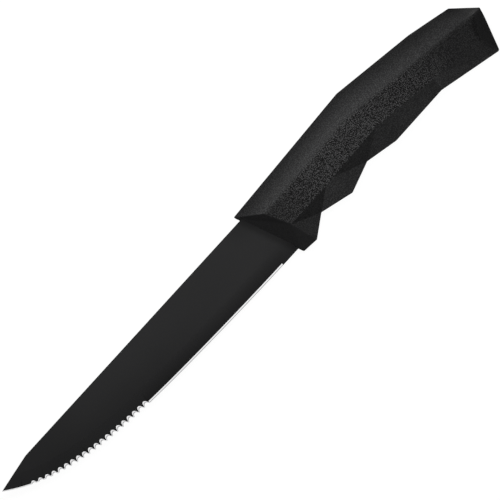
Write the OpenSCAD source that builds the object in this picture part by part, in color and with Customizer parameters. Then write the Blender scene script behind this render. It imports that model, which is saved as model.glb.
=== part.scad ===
// Steak knife, lying on one side of its handle.
// A coated blade, scalloped along its front half, runs back into the handle as
// a flat tang. The handle is moulded in two shots: a core is cast round the
// tang and through its holes, then a faceted grip is cast round the core.
// All lengths are millimetres.

/* [Blade] */
// Length of the blade along its spine, from the tip to the handle
blade_l = 120; // [105:1:135]
// Height of the blade where it enters the handle
blade_h = 20.75; // [18:0.25:21.5]
// Thickness of the blade steel
blade_t = 1.5; // [1.2:0.1:2]
// Length of the straight clip that takes the spine down to the tip
clip_l = 14.4; // [10:0.2:20]
// Drop of the tip below the spine
clip_drop = 2.35; // [1.6:0.05:5]
// Height of the taper ground on both flanks, up from the edge
taper_h = 5.5; // [4:0.5:8]
// Thickness that the taper leaves at the edge
edge_t = 0.5; // [0.4:0.05:0.7]
// Height of the sharpened bevel on the plain part of the edge
bevel_h = 0.7; // [0.5:0.1:1]
// Height of that bevel along the scallops, where it is finer
tooth_bevel_h = 0.4; // [0.2:0.1:0.5]
// Length of edge left unsharpened in front of the handle
ricasso_l = 0.25; // [0.25:0.25:5]

/* [Scallops] */
// Number of scallops along the front of the edge
scallops = 20; // [14:1:20]
// Pitch of the scallops along the line that they are indexed on
scallop_pitch = 2.41; // [2.36:0.01:2.44]
// Tilt of that line below the spine, going back towards the handle
index_tilt = 6.5; // [0:0.5:12]
// Radius of the wheel's profile that grinds a scallop
scallop_r = 1; // [0.9:0.02:1.08]
// Depth of a scallop on the far side of the blade
scallop_depth = 1.05; // [0.8:0.05:1.3]
// Number of scallops over which the depth grows, from the tip on
run_in = 6; // [1:1:10]
// Depth that the first scallop lacks
run_in_depth = 0.65; // [0:0.05:0.7]
// Distance along the spine from the tip to the first scallop
scallop_start = 8.4; // [5:0.1:12]
// Tilt of the cut, so that only the near side is hollow ground
scallop_tilt = 47; // [40:1:55]
// Lean of the cut along the edge, towards the handle on the far side
scallop_lean = 12; // [0:1:15]

/* [Tang] */
// Length of the tang, from the front of the handle
tang_l = 76; // [60:1:84]
// Height of the tang behind the heel of the blade
tang_h = 10.5; // [8:0.5:12]
// Bevel across the two corners of the tang's end
tang_bevel = 2.5; // [1:0.5:3.5]
// Depth of the heel, where the blade keeps its full height inside the handle
heel_l = 12; // [10:0.5:14]
// Radius of the holes that the core is cast through
tang_hole_r = 2.4; // [1.8:0.1:3]
// Number of those holes
tang_holes = 3; // [2:1:3]

/* [Handle] */
// Length of the handle along the line of the spine
handle_l = 108; // [98:0.5:118]
// Depth of the handle at its front, from the ridge to the lowest corner
handle_d = 24.5; // [24:0.5:28]
// Width of the handle across its two flat cheeks
handle_w = 16; // [14:0.5:20]
// Height of the crown on the back, over the chord from the ridge to the brow
crown_h = 1.2; // [0:0.1:1.6]
// Wall of the grip outside the core
grip_wall = 3; // [2.5:0.1:3.5]
// Distance of the core from the front of the handle
core_front = 15; // [14:0.5:18]
// Distance of the core from the end of the butt
core_butt = 13; // [11:0.5:18]

/* [Hidden] */

// Room that a cutter runs past the face that it cuts
overrun = 1;
// Level of the sharp edge, near the far flank
edge_low_share = 0.4;
edge_low = -edge_low_share * edge_t;

// The cutting edge rises from the heel by two powers of the way to the tip:
// a slow curve along the whole edge and a fast one near the tip.
slow_power = 1.65;
fast_power = 6.3;
slow_share = 0.25;
edge_rise = blade_h - clip_drop;
edge_steps = 40;

// Corners of the handle, seen from the side: shares of handle_l along the
// spine and of handle_d above or below it. The ridge is the back of the
// handle, the brow and the cheek line bound its flat cheek, and the belly is
// the lower outline, whose third value is a share of half the handle's width.
ridge_shares = [[0, 0.097], [0.501, 0.2], [0.785, 0.012], [0.93, -0.143], [1, -0.462]];
brow_shares = [[0.072, -0.176], [0.455, -0.124], [0.717, -0.289], [0.894, -0.389], [0.96, -0.445]];
cheek_shares = [
    [0.106, -0.551], [0.262, -0.551], [0.298, -0.539], [0.502, -0.508],
    [0.611, -0.573], [0.732, -0.645], [0.755, -0.661], [0.917, -0.776]
];
belly_shares = [
    [0.071, -0.929, 0], [0.125, -0.948, 0.69], [0.197, -0.745, 0.3], [0.306, -0.876, 0.62],
    [0.409, -0.737, 0.3], [0.516, -0.839, 0.56], [0.728, -0.83, 0.5], [0.94, -1.051, 0.2]
];
// Middle line of the handle, from which the wall of the grip is measured
axis_shares = [[0, -0.36], [0.1, -0.36], [0.48, -0.31], [0.75, -0.47], [1, -0.62]];

// The flat cheek joins corners of the brow to corners of the cheek line
plates = [
    [[0], [1, 0]], [[0, 1], [1]], [[1], [2, 1]], [[1], [3, 2]], [[1, 2], [3]], [[2], [4, 3]],
    [[2], [5, 4]], [[2, 3], [5]], [[3], [6, 5]], [[3], [7, 6]], [[3, 4], [7]]
];
// Each lower facet joins corners of the cheek line to corners of the belly
facets = [
    [[0], [2, 1]], [[0, 1], [2]], [[1], [3, 2]], [[1, 2], [3]], [[2], [4, 3]], [[2, 3], [4]],
    [[3], [5, 4]], [[3, 4], [5]], [[4], [6, 5]], [[4, 5], [6]], [[5, 6], [6]], [[6], [7, 6]], [[6, 7], [7]]
];

// The crowned back is lofted through a section at each corner of the ridge
crown_shares = [0, 0.75, 1, 0.75, 0];
last_section = len(ridge_shares) - 1;
back_steps = 6;

half_w = handle_w / 2;
butt_x = handle_l * max([for (s = ridge_shares) s[0]]);
top_y = handle_d * max([for (s = ridge_shares) s[1]]);
low_y = handle_d * min([for (s = belly_shares) s[1]]);
origin_shift = [(blade_l - butt_x) / 2, -(top_y + low_y) / 2, half_w];

function mix(a, b, f) = a + (b - a) * f;
function flip(list) = [for (i = [len(list) - 1 : -1 : 0]) list[i]];

// Height of the cutting edge, and its slope, at a place along the blade
function edge_y(x) = let (u = max(0, -x / blade_l))
    -blade_h + edge_rise * mix(pow(u, fast_power), pow(u, slow_power), slow_share);
function edge_slope(x) = let (u = max(0, -x / blade_l)) -edge_rise / blade_l
    * mix(fast_power * pow(u, fast_power - 1), slow_power * pow(u, slow_power - 1), slow_share);
// Place of each tooth, one pitch along the index line from the one before
function tooth_x(i) = i == 0 ? scallop_start - blade_l
    : let (x = tooth_x(i - 1)) x + scallop_pitch / (cos(index_tilt) - edge_slope(x) * sin(index_tilt));

// A point of the back: a share of the way from the ridge to the brow of a
// section, raised square to that chord by a parabola
function back_point(section, f) = let (
    ridge = [ridge_shares[section][0] * handle_l, ridge_shares[section][1] * handle_d],
    brow = [brow_shares[section][0] * handle_l, brow_shares[section][1] * handle_d],
    fall = ridge[1] - brow[1],
    up = crown_h * crown_shares[section] * 4 * f * (1 - f) / norm([fall, half_w]))
    [mix(ridge[0], brow[0], f), mix(ridge[1], brow[1], f) + up * half_w, f * half_w + up * fall];

// Draws a point of the handle's surface in by a wall, towards its middle line
function inset(p, wall) = let (middle_y = handle_d * lookup(p[0] / handle_l, axis_shares))
    [p[0], mix(p[1], middle_y, 2 * wall / handle_d), mix(p[2], 0, wall / half_w)];

// Closed faceted form of the handle, with its surface moved in by a wall
module handle_form(wall = 0) {
    section_n = last_section + 1;
    cheek_n = len(cheek_shares);
    belly_n = len(belly_shares);
    side_n = back_steps * section_n + cheek_n + belly_n;

    function back_at(side, section, band) =
        band == 0 ? section : (side * side_n) + band * section_n + section;
    function cheek_at(side, i) = (side * side_n) + (back_steps + 1) * section_n + i;
    function belly_at(side, i) = cheek_at(i == 0 ? 0 : side, cheek_n + i);
    function seen(side, face) = side == 0 ? face : flip(face);

    points = [
        for (section = [0 : last_section]) inset(back_point(section, 0), wall),
        for (side = [1, -1]) each [
            for (band = [1 : back_steps]) for (section = [0 : last_section])
                let (p = inset(back_point(section, band / back_steps), wall)) [p[0], p[1], side * p[2]],
            for (s = cheek_shares)
                let (p = inset([s[0] * handle_l, s[1] * handle_d, half_w], wall))
                [p[0], p[1], side * p[2]],
            for (s = belly_shares)
                let (p = inset([s[0] * handle_l, s[1] * handle_d, s[2] * half_w], wall))
                [p[0], p[1], side * p[2]]
        ]
    ];
    last = belly_n - 1;
    faces = [
        for (side = [0, 1]) each [
            for (section = [0 : last_section - 1]) for (band = [0 : back_steps - 1]) each let (
                a = back_at(side, section, band), b = back_at(side, section + 1, band),
                c = back_at(side, section + 1, band + 1), d = back_at(side, section, band + 1))
                [seen(side, [a, b, d]), seen(side, [b, c, d])],
            for (f = plates)
                seen(side, concat([for (i = f[0]) back_at(side, i, back_steps)],
                                  [for (i = f[1]) cheek_at(side, i)])),
            for (f = facets)
                seen(side, concat([for (i = f[0]) cheek_at(side, i)],
                                  [for (i = f[1]) belly_at(side, i)])),
            for (band = [0 : back_steps - 1])
                seen(side, [cheek_at(side, 0), back_at(side, 0, band), back_at(side, 0, band + 1)]),
            seen(side, [back_at(side, 0, 0), cheek_at(side, 0), belly_at(side, 0)]),
            seen(side, [cheek_at(side, 0), belly_at(side, 1), belly_at(side, 0)]),
            for (band = [0 : back_steps - 1])
                seen(side, [cheek_at(side, cheek_n - 1), back_at(side, last_section, band + 1),
                            back_at(side, last_section, band)]),
            seen(side, [cheek_at(side, cheek_n - 1), back_at(side, last_section, 0), belly_at(side, last)])
        ],
        [belly_at(0, 0), belly_at(0, 1), belly_at(1, 1)],
        for (i = [1 : last - 1])
            [belly_at(0, i), belly_at(0, i + 1), belly_at(1, i + 1), belly_at(1, i)],
        [belly_at(0, last), back_at(0, last_section, 0), belly_at(1, last)]
    ];
    polyhedron(points, faces);
}

// Outline of the steel: clip, spine, heel, tang with its bevelled end, and edge
module blade_outline() {
    tang_y = -blade_h / 2;
    difference() {
        polygon([
            [-blade_l, -clip_drop], [clip_l - blade_l, 0], [heel_l, 0],
            [heel_l, tang_y + tang_h / 2], [tang_l - tang_bevel, tang_y + tang_h / 2],
            [tang_l, tang_y + tang_h / 2 - tang_bevel], [tang_l, tang_y - tang_h / 2 + tang_bevel],
            [tang_l - tang_bevel, tang_y - tang_h / 2], [heel_l, tang_y - tang_h / 2],
            [heel_l, -blade_h],
            for (i = [0 : edge_steps - 1]) let (x = -blade_l * i / edge_steps) [x, edge_y(x)]
        ]);
        for (i = [1 : tang_holes])
            translate([mix(heel_l, tang_l - tang_bevel, i / (tang_holes + 1)), tang_y])
                circle(r = tang_hole_r, $fn = 48);
    }
}

// Wedge that grinds one flank along the edge, between two places. The ground
// face starts at a height above the edge and slopes from one level to another.
module flank_cut(x0, x1, h, top_z, edge_z) {
    steps = edge_steps;
    section = [[h, top_z], [-overrun, edge_z - (top_z - edge_z) * overrun / h],
               [-overrun, top_z + overrun], [h, top_z + overrun]];
    n = len(section);
    points = [for (i = [0 : steps]) let (x = mix(x0, x1, i / steps))
              for (s = section) [x, edge_y(x) + s[0], s[1]]];
    faces = [
        [for (k = [n - 1 : -1 : 0]) k],
        for (i = [0 : steps - 1]) for (k = [0 : n - 1]) let (a = i * n + k, b = i * n + (k + 1) % n)
            each [[a, b, a + n], [b, b + n, a + n]],
        [for (k = [0 : n - 1]) steps * n + k]
    ];
    polyhedron(points, faces);
}

// One scallop: a round cut, tilted so that it slopes out through the edge and
// leaning a little, so that each hollow is steeper towards the tip
module scallop_cut(i) {
    front = tooth_x(i);
    rear = tooth_x(i + 1);
    turn = atan2(edge_y(rear) - edge_y(front), rear - front);
    depth = scallop_depth - run_in_depth * max(0, 1 - i / run_in);
    translate([(front + rear) / 2, (edge_y(front) + edge_y(rear)) / 2, -edge_t / 2])
        rotate([0, 0, turn])
            translate([0, depth - scallop_r / cos(scallop_tilt), 0])
                rotate([-scallop_tilt, -scallop_lean, 0])
                    cylinder(r = scallop_r, h = 6 * blade_t, center = true, $fn = 48);
}

module taper_cut() {
    flank_cut(-blade_l - overrun, heel_l + overrun, taper_h, blade_t / 2, edge_t / 2);
}

// The sharpened bevel, between two places and up to a height on the taper
module bevel_cut(x0, x1, h) {
    flank_cut(x0, x1, h, mix(edge_t, blade_t, h / taper_h) / 2, edge_low);
}

// The steel is tapered on both flanks, but sharpened and scalloped from one
module steel() {
    difference() {
        translate([0, 0, -blade_t / 2]) linear_extrude(height = blade_t) blade_outline();
        taper_cut();
        mirror([0, 0, 1]) taper_cut();
        bevel_cut(-blade_l - overrun, tooth_x(scallops) + overrun, tooth_bevel_h);
        bevel_cut(tooth_x(scallops), -ricasso_l, bevel_h);
        for (i = [0 : scallops - 1]) scallop_cut(i);
    }
}

// The core has the form of the handle, less the wall of the grip, cut square
module core_form() {
    intersection() {
        handle_form(grip_wall);
        translate([core_front, -2 * handle_d, -handle_w])
            cube([handle_l - core_front - core_butt, 4 * handle_d, 2 * handle_w]);
    }
}

module blade() {
    color("#2c2c2e") translate(origin_shift) steel();
}

module handle_core() {
    color("#4a4a4c") translate(origin_shift) difference() {
        core_form();
        steel();
    }
}

module handle_grip() {
    color("#242426") translate(origin_shift) difference() {
        handle_form();
        core_form();
        steel();
    }
}

blade();
handle_core();
handle_grip();
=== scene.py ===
"""A steak knife with a coated, scalloped blade and a faceted, grained handle, laid flat on a white table."""
import math

import bmesh
import bpy
import numpy as np
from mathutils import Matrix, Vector


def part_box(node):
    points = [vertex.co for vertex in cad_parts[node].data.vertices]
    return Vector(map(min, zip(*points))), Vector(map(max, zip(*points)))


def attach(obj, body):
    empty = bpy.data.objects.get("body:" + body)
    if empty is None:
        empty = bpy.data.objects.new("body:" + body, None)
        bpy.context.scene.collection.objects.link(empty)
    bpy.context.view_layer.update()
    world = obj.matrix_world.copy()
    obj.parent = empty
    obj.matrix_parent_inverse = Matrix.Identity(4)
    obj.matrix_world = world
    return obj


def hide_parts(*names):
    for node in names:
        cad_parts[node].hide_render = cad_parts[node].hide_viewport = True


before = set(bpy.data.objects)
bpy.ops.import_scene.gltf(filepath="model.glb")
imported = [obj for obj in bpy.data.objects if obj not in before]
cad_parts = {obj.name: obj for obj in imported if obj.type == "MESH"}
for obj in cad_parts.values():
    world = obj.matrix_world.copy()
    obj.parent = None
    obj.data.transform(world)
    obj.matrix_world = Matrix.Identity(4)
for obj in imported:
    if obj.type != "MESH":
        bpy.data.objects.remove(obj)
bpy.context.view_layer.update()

MM = 0.001

# The handle's place and size, from its CAD solid
grip_low, grip_high = (np.array(corner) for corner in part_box("handle_grip"))
mid_z = (grip_low[2] + grip_high[2]) / 2
half_w = (grip_high[2] - grip_low[2]) / 2
handle_l = grip_high[0] - grip_low[0]
front_x = grip_low[0]

# Corners of the handle seen from the side, as shares of its length and of its depth. On the belly the
# third number is the share of the half width. The crown of the back is given at each corner of the ridge,
# as a share of CROWN_H
RIDGE_SHARES = np.array([[0, .097], [.501, .2], [.785, .012], [.93, -.143], [1, -.462]])
BROW_SHARES = np.array([[.072, -.176], [.455, -.124], [.717, -.289], [.894, -.389], [.96, -.445]])
CHEEK_SHARES = np.array([[.106, -.551], [.262, -.551], [.298, -.539], [.502, -.508],
                         [.611, -.573], [.732, -.645], [.755, -.661], [.917, -.776]])
BELLY_SHARES = np.array([[.071, -.929, 0], [.125, -.948, .69], [.197, -.745, .3], [.306, -.876, .62],
                         [.409, -.737, .3], [.516, -.839, .56], [.728, -.83, .5], [.94, -1.051, .2]])
CROWN_SHARES = np.array([0, .75, 1, .75, 0])
# The back's crown where it is highest
CROWN_H = 1.2 * MM

# The depth that these are shares of, and the y that a share of 0 stands for
handle_d = (grip_high[1] - grip_low[1]) / (RIDGE_SHARES[:, 1].max() - BELLY_SHARES[:, 1].min())
spine_y = grip_high[1] - RIDGE_SHARES[:, 1].max() * handle_d

# Facets below a cheek: their corners on its lower border, those on the belly, and how light each one is
# painted, a painted light or shade for how the lamps fall on it
FACETS = [([0], [2, 1], .88), ([0, 1], [2], .74), ([1], [3, 2], 1.38), ([1, 2], [3], 1.16),
          ([2], [4, 3], 1.01), ([2, 3], [4], .81), ([3], [5, 4], 1.02), ([3, 4], [5], .93),
          ([4], [6, 5], 1.08), ([4, 5], [6], 1.08), ([5, 6], [6], 1.55), ([6], [7, 6], 1.28),
          ([6, 7], [7], 1.05)]

# How light each kind of face is painted, and all others, where 1 is the plain plastic: painted light and
# shade for how the lamps fall on each kind
LIGHT = {"butt": 1.4, "front": 1.08, "belly": 1.6}
LIGHT.update({f"facet {number}": light for number, (_, _, light) in enumerate(FACETS)})
LIGHT_ELSEWHERE = 0.98
# How light a corner on the brow is painted next to the back there, as a share of the back's painted light: on
# the back's own side, and on the strip's
BACK_AT_BROW = 0.88
STRIP_AT_BROW = 0.74
# How light the front is painted where it meets the back, a painted light
FRONT_AT_BACK = 1.25
# How deep the grain of each kind of face is, and of all others, as a share of the cheeks'
GRAIN = {"cheek": 1, "strip": 1, "butt": 0.15, "front": 0.08}
GRAIN_ELSEWHERE = 0.25
# The painted shade round the butt: its middle below the spine, as a share of the depth, the radii between
# which it ends, and the depths between which it ends at the brow
BUTT_CENTRE = -0.762
BUTT_RADII = (8.7 * MM, 9.9 * MM)
BROW_AT_BUTT = (-0.5, -0.43)
# Specular level of the black finishes, and of the butt. They are low, as all that they mirror is white
LOW_GLOSS = 0.01
BUTT_GLOSS = 0.001

# Steps of the crowned back, along the handle and across it
BACK_ROWS = 72
BACK_BANDS = 8
# How far the corners between the back's sections are rounded, as a share of the handle's length, and at
# how many places the mean is taken
ROUNDING = 0.05
ROUNDING_STEPS = 9
# Width of the strip of cheek below the brow where the grain fades in
FADE = 1.2 * MM
# The mould's widest rounding, and the turn in degrees below which two faces count as one
WIDEST_ROUNDING = 1 * MM
FLAT_TURN = 4
# Points closer than this are the same point
TOUCH = 1e-7


def place(shares_x, shares_y, z):
    """Corners given as shares become points of the part's frame, at heights z from the middle plane."""
    x = front_x + np.asarray(shares_x) * handle_l
    y = spine_y + np.asarray(shares_y) * handle_d
    return np.stack([x, y, mid_z + np.broadcast_to(z, x.shape)], -1)


def back_surface(side):
    """The crowned back of one side, a grid of BACK_ROWS + 1 by BACK_BANDS + 1 points.

    Ridge and brow run straight from section to section. Across, a point lies a share f of the way from
    the ridge to the brow, raised square to that chord by 4 f (1 - f) times the crown. Between the two
    borders the sections' corners are rounded, with weight 4 f (1 - f), by a moving mean over up to
    ROUNDING of the handle's length to either side."""
    sections = RIDGE_SHARES[:, 0] / RIDGE_SHARES[-1, 0]
    s = np.linspace(0, 1, BACK_ROWS + 1)
    s[np.abs(s[:, None] - sections[None, 1:-1]).argmin(0)] = sections[1:-1]
    f = np.linspace(0, 1, BACK_BANDS + 1)[None, :, None]

    def at(table, t):
        table = np.asarray(table, float).reshape(len(sections), -1)
        return np.stack([np.interp(t, sections, column) for column in table.T], -1)

    def loft(t):
        ridge, brow, crown = at(RIDGE_SHARES, t), at(BROW_SHARES, t), at(CROWN_SHARES, t)[:, 0] * CROWN_H
        ridge = place(ridge[:, 0], ridge[:, 1], 0)[:, None]
        brow = place(brow[:, 0], brow[:, 1], side * half_w)[:, None]
        chord = brow - ridge
        square = np.stack([0 * chord[..., 0], np.abs(chord[..., 2]), -side * chord[..., 1]], -1)
        square /= np.linalg.norm(square, axis=-1, keepdims=True)
        return ridge + f * chord + 4 * f * (1 - f) * crown[:, None, None] * square

    reach = np.minimum(1, np.minimum(s, 1 - s) / ROUNDING) * ROUNDING
    steps = np.linspace(-1, 1, ROUNDING_STEPS)
    rounded = np.mean([loft(np.clip(s + step * reach, 0, 1)) for step in steps], 0)
    weight = 4 * f * (1 - f)
    return (1 - weight) * loft(s) + weight * rounded


def handle_surface():
    """All corners and faces of the handle's outside as one closed shell: the two crowned backs, the flat
    cheeks, the facets below them, the belly's bands, and the fans of the front and the butt. The two sides
    share the ridge and the belly's first corner.

    A cheek is a strip under the brow and the field below it. The strip's lower border lies FADE away from
    the brow, on the line from each point of the brow to its like on the chord of the cheek's lower border."""
    points, faces, kinds = [], [], []

    def keep(new):
        """Adds points to the shell, and gives their numbers in it."""
        new = new.reshape(-1, 3)
        numbers = sum(map(len, points)) + np.arange(len(new))
        points.append(new)
        return numbers

    ridge = keep(back_surface(1)[:, 0])
    back_at, strip_at, cheek_at, belly_at = {}, {}, {}, {}
    for side in (1, -1):
        back = back_surface(side)
        back_at[side] = np.column_stack([ridge, keep(back[:, 1:]).reshape(-1, BACK_BANDS)])
        brow = back[:, -1]
        chord = place(CHEEK_SHARES[[0, -1], 0], CHEEK_SHARES[[0, -1], 1], side * half_w)
        t = np.linspace(0, 1, BACK_ROWS + 1)[:, None]
        across = (1 - t) * chord[0] + t * chord[1] - brow
        strip_at[side] = keep(brow + across * FADE / np.linalg.norm(across, axis=-1, keepdims=True))
        cheek_at[side] = keep(place(CHEEK_SHARES[:, 0], CHEEK_SHARES[:, 1], side * half_w))
        belly = place(BELLY_SHARES[:, 0], BELLY_SHARES[:, 1], side * BELLY_SHARES[:, 2] * half_w)
        belly_at[side] = keep(belly) if side == 1 else np.append(belly_at[1][0], keep(belly[1:]))

    def add(side, corners, kind):
        """One face, turned to look outwards on its side."""
        faces.append([int(corner) for corner in corners][::-side])
        kinds.append(kind)

    for side in (1, -1):
        back, strip, cheek, belly = back_at[side], strip_at[side], cheek_at[side], belly_at[side]
        grid = np.column_stack([back, strip])
        grid_kinds = (["back"] * BACK_BANDS + ["strip"]) * BACK_ROWS
        quads = np.stack([grid[:-1, :-1], grid[1:, :-1], grid[1:, 1:], grid[:-1, 1:]], -1).reshape(-1, 4)
        for quad, kind in zip(quads, grid_kinds):
            add(side, quad, kind)
        add(side, [*strip, *cheek[::-1]], "cheek")
        for number, (upper, lower, _) in enumerate(FACETS):
            add(side, [*cheek[upper], *belly[lower]], f"facet {number}")
        add(side, [cheek[0], *back[0, :], strip[0]], "front")
        add(side, [back[0, 0], cheek[0], belly[0]], "front")
        add(side, [cheek[0], belly[1], belly[0]], "front")
        add(side, [cheek[-1], strip[-1], *back[-1, ::-1]], "butt")
        add(side, [cheek[-1], back[-1, 0], belly[-1]], "butt")
    upper, lower = belly_at[1], belly_at[-1]
    add(1, [upper[0], upper[1], lower[1]], "belly")
    for band in np.stack([upper[1:-1], upper[2:], lower[2:], lower[1:-1]], -1):
        add(1, band, "belly")
    add(1, [upper[-1], back_at[1][-1, 0], lower[-1]], "butt")
    return np.concatenate(points), faces, kinds


def mesh_object(name, points, faces, material):
    """A new object of one material, from an array of points and the corners of its faces."""
    mesh = bpy.data.meshes.new(name)
    mesh.from_pydata(points.tolist(), [], faces)
    mesh.update()
    piece = bpy.data.objects.new(name, mesh)
    bpy.context.scene.collection.objects.link(piece)
    mesh.materials.append(material)
    return piece


class Nodes:
    """Builds a node tree in few words: a call adds a node, sets its inputs, and returns its output."""

    def __init__(self, tree):
        self.tree = tree
        tree.nodes.clear()

    def add(self, kind, inputs=(), output=0, **settings):
        node = self.tree.nodes.new("ShaderNode" + kind)
        for name, value in settings.items():
            setattr(node, name, value)
        for name, value in dict(inputs).items():
            socket = node.inputs[name]
            if isinstance(value, bpy.types.NodeSocket):
                self.tree.links.new(value, socket)
            else:
                socket.default_value = value
        return node.outputs[output] if node.outputs else node

    def math(self, operation, a, b):
        return self.add("Math", {0: a, 1: b}, operation=operation)

    def times(self, first, *others):
        for other in others:
            first = self.math("MULTIPLY", first, other)
        return first

    def part(self, vector, axis):
        return self.add("SeparateXYZ", {"Vector": vector}, output=axis)

    def attribute(self, name):
        return self.add("Attribute", output="Fac", attribute_name=name, attribute_type="GEOMETRY")

    def ramp(self, value, low, high, to_low=0.0, to_high=1.0):
        """A soft step from to_low to to_high while the value goes from low to high."""
        return self.add("MapRange", {"Value": value, "From Min": low, "From Max": high,
                                     "To Min": to_low, "To Max": to_high}, interpolation_type="SMOOTHSTEP")

    def spread(self, value, to_low, to_high, low=0.0):
        """An even run from to_low to to_high while the value goes from low to 1."""
        return self.add("MapRange", {"Value": value, "From Min": low, "To Min": to_low, "To Max": to_high})

    def noise(self, where, scale, detail, roughness):
        return self.add("TexNoise", {"Vector": where, "Scale": scale, "Detail": detail,
                                     "Roughness": roughness})

    def mix(self, share, colour, other):
        return self.add("Mix", {0: share, 6: colour, 7: other}, output=2, data_type="RGBA")

    def tint(self, share, dark, light):
        return self.mix(share, (*dark, 1), (*light, 1))

    def dimmed(self, colour, shade):
        return self.add("VectorMath", {0: colour, "Scale": shade}, operation="SCALE")

    def surface(self, inputs):
        """Ends a material in a Principled shader with these inputs."""
        self.add("OutputMaterial", {"Surface": self.add("BsdfPrincipled", inputs)})

    def seen(self):
        """1 for the rays that see a background: straight, in a reflection, or through glass."""
        path = self.tree.nodes.new("ShaderNodeLightPath").outputs
        mirrored = self.math("MAXIMUM", path["Is Glossy Ray"], path["Is Transmission Ray"])
        return self.math("MAXIMUM", path["Is Camera Ray"], mirrored)


def new_material(name):
    """A material with an empty node tree, and what builds it."""
    material = bpy.data.materials.new(name)
    material.use_nodes = True
    return material, Nodes(material.node_tree)


def butt_painted_shade(n, where):
    """Painted shade round the butt: darker within a circle seen from the side, below the brow."""
    seen_from_side = n.add("VectorMath", {0: where, 1: (1, 1, 0)}, operation="MULTIPLY")
    centre = (front_x + handle_l, spine_y + BUTT_CENTRE * handle_d, 0)
    distance = n.add("VectorMath", {0: seen_from_side, 1: centre}, output="Value", operation="DISTANCE")
    within = n.ramp(distance, *BUTT_RADII, 1, 0)
    brow_low, brow_high = (spine_y + share * handle_d for share in BROW_AT_BUTT)
    in_painted_shade = n.times(within, n.ramp(n.part(where, "Y"), brow_low, brow_high, 1, 0))
    # The colour falls to 0.6 there, a painted shade
    return n.spread(in_painted_shade, 1, 0.6)


def cheek_grain_and_painted_light(n, where, grain):
    """How deep the grain is, and how light the cheek is painted, from place to place along the handle. The
    grain is slight behind the blade, full from a quarter of the length on, and thinner near the butt. The
    cheek is painted lightest before its middle, a painted light, and darker towards the butt, a painted
    shade. Both fade out where the grain attribute falls to GRAIN_ELSEWHERE."""
    def step(start, end, low, high):
        """A soft step from low to high between two shares of the handle's length."""
        return n.ramp(n.part(where, "X"), front_x + start * handle_l, front_x + end * handle_l, low, high)

    depth = n.math("MINIMUM", step(0, 0.25, 0.35, 1), step(0.64, 0.86, 1, 0.4))
    # Painted light before the cheek's middle and painted shade towards the butt
    light = n.times(step(0.12, 0.3, 0.84, 1.12), step(0.5, 0.64, 1, 0.87), step(0.64, 0.86, 1, 0.68))
    depth = n.math("MINIMUM", grain, n.spread(grain, GRAIN_ELSEWHERE, depth, low=GRAIN_ELSEWHERE))
    return depth, n.spread(grain, 1, light, low=GRAIN_ELSEWHERE)


def grip_plastic(name, gloss):
    """Black moulded plastic with a coarse spark-eroded grain of pits and grit, as deep as the grain attribute
    and the cheek's depth along the handle say, and a fine one all over. Its colour carries painted shade in
    the pits and painted glints on their tops, and is scaled by painted light and shade: that of each face
    corner, the cheek's along the handle, and that round the butt."""
    material, n = new_material(name)
    where = n.add("TexCoord", output="Object")
    grain, light = cheek_grain_and_painted_light(n, where, n.attribute("grain"))
    cells = n.add("TexVoronoi", {"Vector": where, "Scale": 3050, "Randomness": 1.0})
    pits = n.ramp(cells, 0.15, 0.6, 1, 0)
    grit = n.noise(where, 6000, 1.0, 0.5)
    coarse = n.times(n.math("ADD", n.times(pits, 0.8), n.times(grit, 0.2)), grain)
    fine = n.noise(where, 7000, 1.5, 0.5)
    bump = n.add("Bump", {"Height": coarse, "Strength": 0.9, "Distance": 0.25 * MM})
    bump = n.add("Bump", {"Height": fine, "Strength": 0.15, "Distance": 0.2 * MM, "Normal": bump})
    cloud = n.noise(where, 90, 3.0, 0.5)
    plain = n.tint(cloud, (0.0145, 0.0145, 0.0148), (0.0165, 0.0165, 0.0168))
    # Painted shade in the pits and painted glints on their tops, far darker and lighter than the plain
    # plastic
    grain_painted_shade_and_glint = n.tint(pits, (0.006, 0.006, 0.0061), (0.092, 0.092, 0.0928))
    # Painted light and shade: per face corner, along the cheek, and round the butt
    shade = n.times(n.attribute("painted_light"), light, butt_painted_shade(n, where))
    n.surface({"Base Color": n.dimmed(n.mix(grain, plain, grain_painted_shade_and_glint), shade),
               "Roughness": n.spread(grit, 0.36, 0.46), "Normal": bump, "Specular IOR Level": gloss})
    return material


def core_plastic():
    """Hard black plastic of the first shot, with a faint flow pattern."""
    material, n = new_material("core_plastic")
    where = n.add("TexCoord", output="Object")
    flow = n.noise(n.add("Mapping", {"Vector": where, "Scale": (0.2, 1, 1)}), 260, 3.0, 0.6)
    bump = n.add("Bump", {"Height": flow, "Strength": 0.2, "Distance": 0.2 * MM})
    n.surface({"Base Color": n.tint(flow, (0.024, 0.024, 0.025), (0.036, 0.036, 0.037)),
               "Roughness": n.spread(flow, 0.42, 0.55), "Normal": bump})
    return material


def coat_painted_shade(n, where):
    """Painted shade on the coat: a painted shadow in the nook at the handle's slanting front, the more so
    near the spine, and darker towards the point and along the edge. On the far half it also grows lighter
    from the edge to the spine, a painted light."""
    x, y = n.part(where, "X"), n.part(where, "Y")

    def along(start, end, low, high):
        """A soft step from low to high between two places along the blade, in mm from the handle."""
        return n.ramp(x, front_x + start * MM, front_x + end * MM, low, high)

    def across(start, end, low, high):
        """The same across the blade, in mm from the spine."""
        return n.ramp(y, spine_y + start * MM, spine_y + end * MM, low, high)

    front_drop = (RIDGE_SHARES[0, 1] - BELLY_SHARES[0, 1]) * handle_d
    slant = BELLY_SHARES[0, 0] * handle_l / front_drop
    front_top = spine_y + RIDGE_SHARES[0, 1] * handle_d
    from_front = n.math("ADD", n.times(y, slant), n.math("SUBTRACT", x, front_x + slant * front_top))
    near_front = n.ramp(from_front, -12 * MM, 0, 1, across(-8, -1, 0.97, 0.8))
    nook = n.ramp(from_front, -2.5 * MM, 0.2 * MM, 1, 0.68)
    far_half = n.spread(along(-60, -20, 1, 0), 1, across(-17, -1, 0.84, 1.11))
    return n.times(near_front, nook, across(-20, -13.5, 0.74, 1), along(-100, -78, 0.9, 1), far_half)


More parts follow.
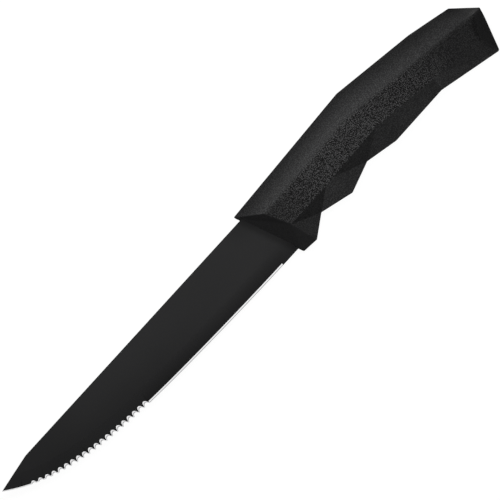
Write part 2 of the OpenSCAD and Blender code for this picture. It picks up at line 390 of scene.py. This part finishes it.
def coat():
    """Matt black non-stick coat: a fine orange peel, a little cloudier from place to place, with painted
    shade and light laid on its colour.
    """
    material, n = new_material("blade_coat")
    where = n.add("TexCoord", output="Object")
    peel = n.noise(where, 2600, 2.0, 0.5)
    cloud = n.noise(where, 70, 3.0, 0.5)
    colour = n.tint(cloud, (0.0188, 0.0188, 0.0192), (0.0212, 0.0212, 0.0216))
    n.surface({"Base Color": n.dimmed(colour, coat_painted_shade(n, where)),
               "Roughness": n.spread(cloud, 0.46, 0.54),
               "Normal": n.add("Bump", {"Height": peel, "Strength": 0.12, "Distance": 0.2 * MM}),
               "Specular IOR Level": LOW_GLOSS})
    return material


def ground_steel():
    """Bare stainless steel where the edge and the scallops are ground, with fine wheel marks across it.
    Along the low side of the edge it is greyer, a painted shade."""
    material, n = new_material("ground_steel")
    where = n.add("TexCoord", output="Object")
    marks = n.noise(n.add("Mapping", {"Vector": where, "Scale": (1, 0.06, 0.06)}), 9000, 2.0, 0.6)
    # Painted shade along the edge's low side, below the middle plane
    clear_of_edge_shade = n.ramp(n.part(where, "Z"), mid_z - 0.12 * MM, mid_z + 0.06 * MM)
    bright = n.tint(marks, (0.74, 0.74, 0.745), (0.86, 0.86, 0.865))
    n.surface({"Base Color": n.mix(clear_of_edge_shade, (0.33, 0.33, 0.335, 1), bright), "Metallic": 1.0,
               "Roughness": n.spread(marks, 0.28, 0.4),
               "Normal": n.add("Bump", {"Height": marks, "Strength": 0.1, "Distance": 0.05 * MM})})
    return material


def painted_light_and_grain(mesh, kinds):
    """How light each face corner is painted, as painted light and shade for how the lamps fall on the handle,
    and how deep its grain is.

    With f the share of the way from the ridge to the brow, told by the height from the middle plane, and
    s the share of the handle's length, the back has (0.83 - 0.4 s + 1.2 f^1.5 + f (1 - f) u)
    (0.96 + 0.6 t (1 - t)), t being s / 0.8 up to 1, and u going from 0 to 1 over s = 0.8 to 0.95. On the
    brow, where the corner is rounded, back and strip have their shares of that. All other faces have the
    value of their kind, but for the front where it meets the back. The grain is that of the kind too, and
    across the strip it grows from GRAIN_ELSEWHERE at the brow to the cheek's."""
    place_of = np.zeros(len(mesh.vertices) * 3)
    mesh.vertices.foreach_get("co", place_of)
    place_of = place_of.reshape(-1, 3)
    across = np.abs(place_of[:, 2] - mid_z) / half_w
    along = (place_of[:, 0] - front_x) / handle_l
    swell = np.clip(along / 0.8, 0, 1)
    last = np.clip((along - 0.8) / 0.15, 0, 1)
    # Painted light on the back: lighter towards the brow and along its middle, a painted highlight
    on_back = 0.83 - 0.4 * along + 1.2 * across ** 1.5 + across * (1 - across) * last
    on_back *= 0.96 + 0.6 * swell * (1 - swell)
    corner = np.zeros(len(mesh.loops), np.int32)
    mesh.loops.foreach_get("vertex_index", corner)
    corners_of_face = np.zeros(len(mesh.polygons), np.int32)
    mesh.polygons.foreach_get("loop_total", corners_of_face)
    kind = np.repeat(np.array(kinds), corners_of_face)
    painted_light = np.repeat([LIGHT.get(each, LIGHT_ELSEWHERE) for each in kinds], corners_of_face)
    grain = np.repeat([GRAIN.get(each, GRAIN_ELSEWHERE) for each in kinds], corners_of_face)
    touches_back = np.isin(corner, corner[kind == "back"])
    back, strip, front = (kind == each for each in ("back", "strip", "front"))
    on_brow = across[corner] > 0.99
    on_back = on_back[corner]
    # Painted light at the brow and where the front meets the back
    painted_light = np.select([back & on_brow, back, strip & touches_back, front & touches_back],
                    [BACK_AT_BROW * on_back, on_back, STRIP_AT_BROW * on_back, FRONT_AT_BACK], painted_light)
    grain[strip & touches_back] = GRAIN_ELSEWHERE
    return painted_light, grain


def rounding_share(kinds, turn, on_ridge):
    """How much of the widest rounding an edge gets, from the kinds of its two faces, the turn between them
    in degrees, and whether it lies on the ridge. The butt's lower edges get all of it."""
    if kinds == {"back"}:
        return 0.4 if on_ridge else 0.0
    if kinds == {"back", "strip"}:
        return 0.7
    if turn < FLAT_TURN:
        return 0.0
    if "butt" not in kinds:
        return 0.3
    if "back" in kinds:
        return 0.5
    return 1.0 if kinds & {"belly", f"facet {len(FACETS) - 1}"} else 0.8


def make_grip():
    """The handle's skin, with its edges rounded as the mould rounds them. Its butt is the dullest."""
    points, faces, kinds = handle_surface()
    piece = mesh_object("grip_skin", points, faces, grip_plastic("grip_plastic", LOW_GLOSS))
    mesh = piece.data
    mesh.materials.append(grip_plastic("butt_plastic", BUTT_GLOSS))
    mesh.polygons.foreach_set("material_index", (np.array(kinds) == "butt").astype(np.int32))
    mesh.shade_smooth()
    # The painted light and shade of each corner, and its grain depth
    for name, values in zip(("painted_light", "grain"), painted_light_and_grain(mesh, kinds)):
        mesh.attributes.new(name, "FLOAT", "CORNER").data.foreach_set("value", values)
    faces_at = {}
    for face, kind in zip(mesh.polygons, kinds):
        for key in face.edge_keys:
            faces_at.setdefault(key, []).append((kind, face.normal.copy()))
    weights = mesh.attributes.new("bevel_weight_edge", "FLOAT", "EDGE")
    for edge in mesh.edges:
        (kind_a, normal_a), (kind_b, normal_b) = faces_at[tuple(sorted(edge.vertices))]
        turn = math.degrees(normal_a.angle(normal_b))
        on_ridge = all(abs(mesh.vertices[end].co.z - mid_z) < TOUCH for end in edge.vertices)
        weights.data[edge.index].value = rounding_share({kind_a, kind_b}, turn, on_ridge)
    bevel = piece.modifiers.new("moulded_edges", "BEVEL")
    bevel.limit_method = "WEIGHT"
    bevel.width = WIDEST_ROUNDING
    bevel.segments = 3
    bevel.use_clamp_overlap = True
    bevel.harden_normals = True
    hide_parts("handle_grip")
    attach(piece, "root")


def make_blade():
    """The steel as the CAD gives it, merged. Its ground faces are told from the coated ones by where they
    face, which is neither straight up, nor down, nor towards the spine. They end just before the handle."""
    piece = bpy.data.objects.new("coated_blade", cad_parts["blade"].data.copy())
    bpy.context.scene.collection.objects.link(piece)
    mesh = piece.data
    work = bmesh.new()
    work.from_mesh(mesh)
    bmesh.ops.remove_doubles(work, verts=work.verts, dist=TOUCH)
    work.to_mesh(mesh)
    work.free()
    mesh.materials.clear()
    mesh.materials.append(coat())
    mesh.materials.append(ground_steel())
    centre = np.zeros(len(mesh.polygons) * 3)
    normal = np.zeros(len(mesh.polygons) * 3)
    mesh.polygons.foreach_get("center", centre)
    mesh.polygons.foreach_get("normal", normal)
    centre, normal = centre.reshape(-1, 3), normal.reshape(-1, 3)
    off_flats = (normal[:, 2] > -0.5) & (normal[:, 2] < 0.98)
    off_spine = normal[:, 1] < 0.1
    off_handle = centre[:, 0] < front_x - 0.24 * MM
    ground = off_flats & off_spine & off_handle
    mesh.polygons.foreach_set("material_index", ground.astype(np.int32))
    mesh.polygons.foreach_set("use_smooth", ground)
    mesh.set_sharp_from_angle(angle=math.radians(20))
    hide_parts("blade")
    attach(piece, "root")


def finish_core():
    """The hidden first shot keeps its CAD mesh, and only gets a material."""
    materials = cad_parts["handle_core"].data.materials
    materials.clear()
    materials.append(core_plastic())


# The photograph's frame: its width and middle on the part, and the turn of the knife in the picture
VIEW_SPAN = 167.5 * MM
VIEW_CENTRE = (1.88 * MM, 1.32 * MM)
VIEW_TURN = math.radians(47.6)
LENS = 180
SENSOR = 36


def make_camera():
    """Straight above the knife, with a long lens."""
    data = bpy.data.cameras.new("camera")
    data.lens = LENS
    data.sensor_width = SENSOR
    data.clip_start = 0.05
    data.clip_end = 10
    camera = bpy.data.objects.new("camera", data)
    bpy.context.scene.collection.objects.link(camera)
    camera.location = (*VIEW_CENTRE, mid_z + VIEW_SPAN * LENS / SENSOR)
    camera.rotation_euler = (0, 0, -VIEW_TURN)
    bpy.context.scene.camera = camera


def in_picture(right, up, height):
    """A direction given as the picture sees it, in the part's frame."""
    c, s = math.cos(VIEW_TURN), math.sin(VIEW_TURN)
    return np.array([right * c + up * s, -right * s + up * c, height])


def softbox(name, direction, distance, size, power):
    """A flat lamp of this width and height, at a distance from the knife's middle and facing it."""
    data = bpy.data.lights.new(name, "AREA")
    data.shape = "RECTANGLE"
    data.size, data.size_y = size
    data.energy = power
    lamp = bpy.data.objects.new(name, data)
    bpy.context.scene.collection.objects.link(lamp)
    direction = np.array(direction, float) / np.linalg.norm(direction)
    lamp.location = direction * distance + np.array([0, 0, mid_z])
    lamp.rotation_euler = Vector(direction).to_track_quat("Z", "Y").to_euler()


def make_lights():
    """A small key lamp close above the knife, a wide one towards the butt, a low one on the side of the
    back, and a dim surround that is white to the camera and in reflections."""
    softbox("key_softbox", in_picture(-0.015, 0.062, 0.2), distance=0.21, size=(0.11, 0.11), power=0.363)
    softbox("side_softbox", (0.5, -0.3, 0.7), distance=0.6, size=(0.4, 0.4), power=1.2)
    softbox("low_softbox", in_picture(-0.683, 0.683, 0.259), distance=1.0, size=(0.45, 0.45), power=3.1)
    world = bpy.data.worlds.new("studio")
    bpy.context.scene.world = world
    world.use_nodes = True
    n = Nodes(world.node_tree)
    strength = n.ramp(n.seen(), 0, 1, 0.15, 1.0)
    n.add("OutputWorld", {"Surface": n.add("Background", {"Color": (1, 1, 1, 1), "Strength": strength})})


def make_floor():
    """A table top that is white to the camera, keeps the knife's shadow, and throws little light back."""
    size = 4.0
    material, n = new_material("white_table")
    paint = n.add("BsdfDiffuse", {"Color": (0.25, 0.25, 0.25, 1)})
    shade = n.add("BsdfDiffuse", {"Color": (0.12, 0.12, 0.12, 1)})
    glow = n.add("AddShader", {0: shade, 1: n.add("Emission", {"Color": (1, 1, 1, 1), "Strength": 0.94})})
    n.add("OutputMaterial", {"Surface": n.add("MixShader", {0: n.seen(), 1: paint, 2: glow})})
    corners = np.array([(-1, -1, 0), (1, -1, 0), (1, 1, 0), (-1, 1, 0)]) * size / 2
    floor = mesh_object("table_top", corners, [(0, 1, 2, 3)], material)


make_camera()
make_lights()
make_floor()
make_grip()
make_blade()
finish_core()
bpy.context.scene.view_settings.view_transform = "Standard"
